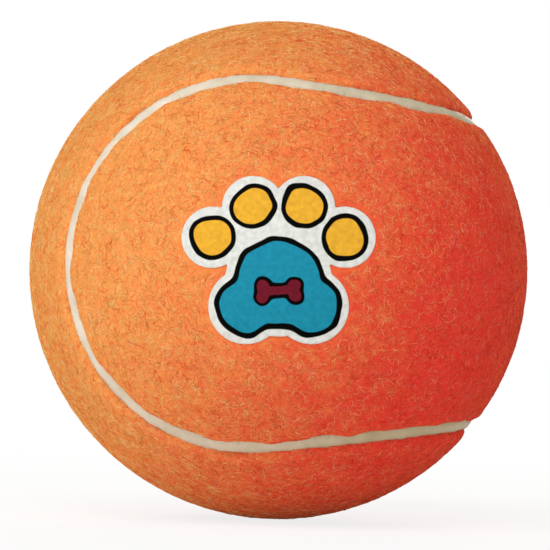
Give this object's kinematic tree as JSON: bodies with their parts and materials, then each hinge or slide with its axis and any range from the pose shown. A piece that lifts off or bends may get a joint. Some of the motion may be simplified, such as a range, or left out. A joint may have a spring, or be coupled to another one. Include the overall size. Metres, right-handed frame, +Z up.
{
  "type": "dog ball",
  "caption": "Felt-covered rubber dog ball for throw and fetch: hollow cemented core, interlocking dog-bone felt panels, pale recessed seam and a small pressed-on print.",
  "frame": {"origin": "the ball's centre", "axes": "+Z up, -Y out through the front lobe that carries the print, +X out through the waist of the right felt panel"},
  "size_m": [0.065, 0.065, 0.065],
  "materials": {
    "orange_felt": "brushed needle felt with a short curly nap",
    "seam_rubber": "cured cream seam cement, smooth and slightly glossy",
    "rubber_cement": "cured rubber cement",
    "core_rubber": "moulded black rubber",
    "print_film": "matt heat-transfer film with printed colours"
  },
  "bodies": {
    "root": {"core_half_upper": "core_rubber", "core_half_lower": "core_rubber", "rim_cement": "rubber_cement", "cement_coat": "rubber_cement", "felt_panel_right": "orange_felt", "felt_panel_left": "orange_felt", "seam_cement": "seam_rubber", "print_transfer": "print_film"}
  },
  "joints": []
}
